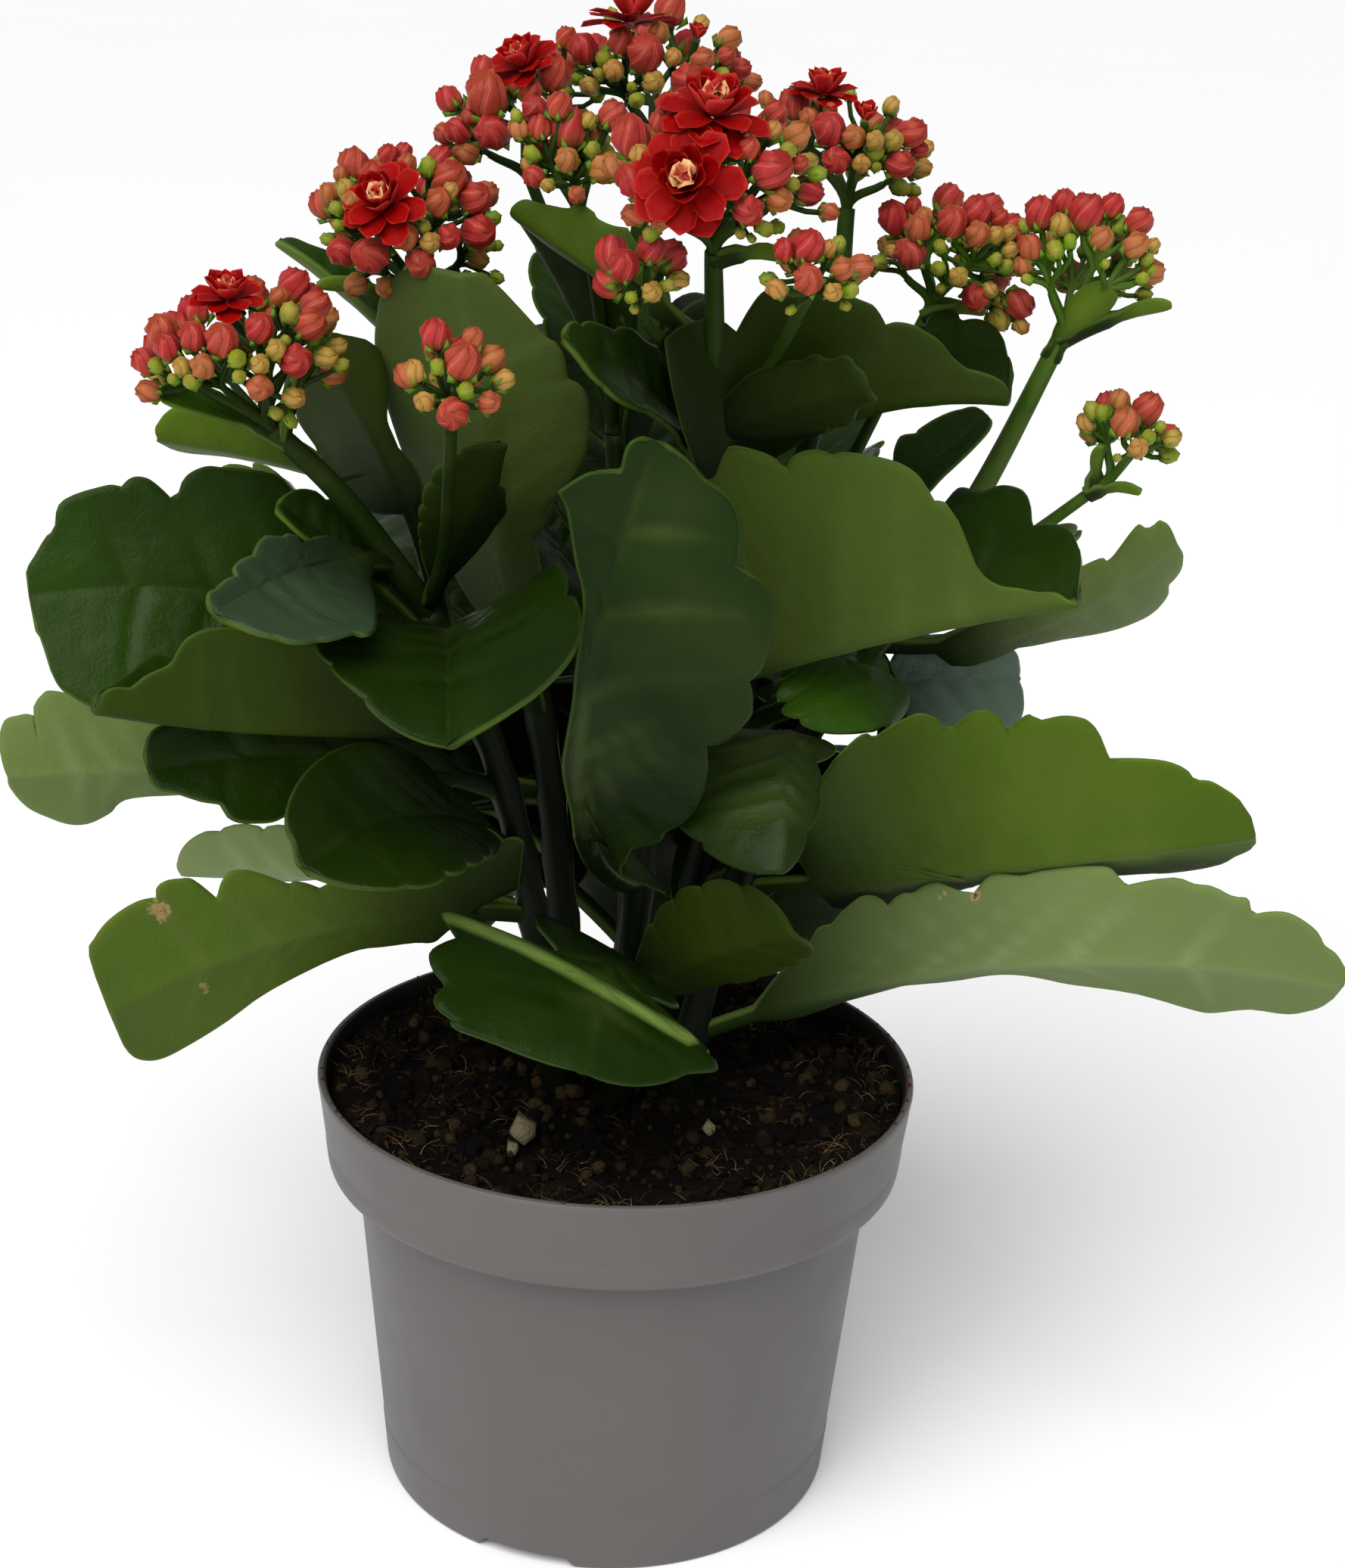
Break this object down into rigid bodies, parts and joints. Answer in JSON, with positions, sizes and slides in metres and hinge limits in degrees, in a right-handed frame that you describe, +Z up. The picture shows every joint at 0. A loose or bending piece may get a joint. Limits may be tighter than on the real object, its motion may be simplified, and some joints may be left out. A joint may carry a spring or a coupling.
{
  "type": "potted flaming katy",
  "caption": "Flaming katy houseplant with fleshy scalloped leaves and clusters of double red flowers and buds, growing in a round grey nursery pot that stands on its flat foot.",
  "frame": {"origin": "centre of the pot's flat foot, on the surface that the pot stands on", "axes": "+Z up through the plant, -Y towards the picture's viewer, +X to the viewer's right"},
  "size_m": [0.2612, 0.184, 0.2966],
  "materials": {
    "pot_plastic": "satin",
    "peat": "matte",
    "stem": "satin",
    "leaf": "satin",
    "flower": "satin"
  },
  "bodies": {
    "root": {"flowers_back": "flower", "flowers_centre": "flower", "flowers_far_right": "flower", "flowers_left": "flower", "flowers_mid_left": "flower", "flowers_right": "flower", "leaf_back_high": "leaf", "leaf_back_left_high": "leaf", "leaf_back_left_oval": "leaf", "leaf_back_low_left": "leaf", "leaf_back_low_right": "leaf", "leaf_back_mid": "leaf", "leaf_back_mid_left": "leaf", "leaf_back_mid_right": "leaf", "leaf_back_side_left": "leaf", "leaf_back_side_right": "leaf", "leaf_back_top": "leaf", "leaf_back_top_right": "leaf", "leaf_back_upper_left": "leaf", "leaf_back_upper_right": "leaf", "leaf_centre_back_dark": "leaf", "leaf_centre_back_low": "leaf", "leaf_centre_low_small": "leaf", "leaf_centre_right_dark": "leaf", "leaf_centre_right_small": "leaf", "leaf_dark_narrow": "leaf", "leaf_far_left_pale": "leaf", "leaf_front_big": "leaf", "leaf_front_low": "leaf", "leaf_left_back_dark": "leaf", "leaf_left_behind_pale": "leaf", "leaf_left_cup": "leaf", "leaf_left_low": "leaf", "leaf_left_lower": "leaf", "leaf_left_lower_small": "leaf", "leaf_left_mid_folded": "leaf", "leaf_left_nub": "leaf", "leaf_left_small_front": "leaf", "leaf_left_tall": "leaf", "leaf_left_upper_round": "leaf", "leaf_right_back_big": "leaf", "leaf_right_back_small": "leaf", "leaf_right_blue": "leaf", "leaf_right_centre_big": "leaf", "leaf_right_low": "leaf", "leaf_right_mid": "leaf", "leaf_right_pale": "leaf", "leaf_right_small_dark": "leaf", "leaf_right_under_dark": "leaf", "leaf_right_under_pale": "leaf", "leaf_top_bright": "leaf", "leaf_upper_centre": "leaf", "pot": "pot_plastic", "soil": "peat", "stem_back": "stem", "stem_centre": "stem", "stem_far_right": "stem", "stem_left": "stem", "stem_mid_left": "stem", "stem_right": "stem"}
  },
  "joints": []
}
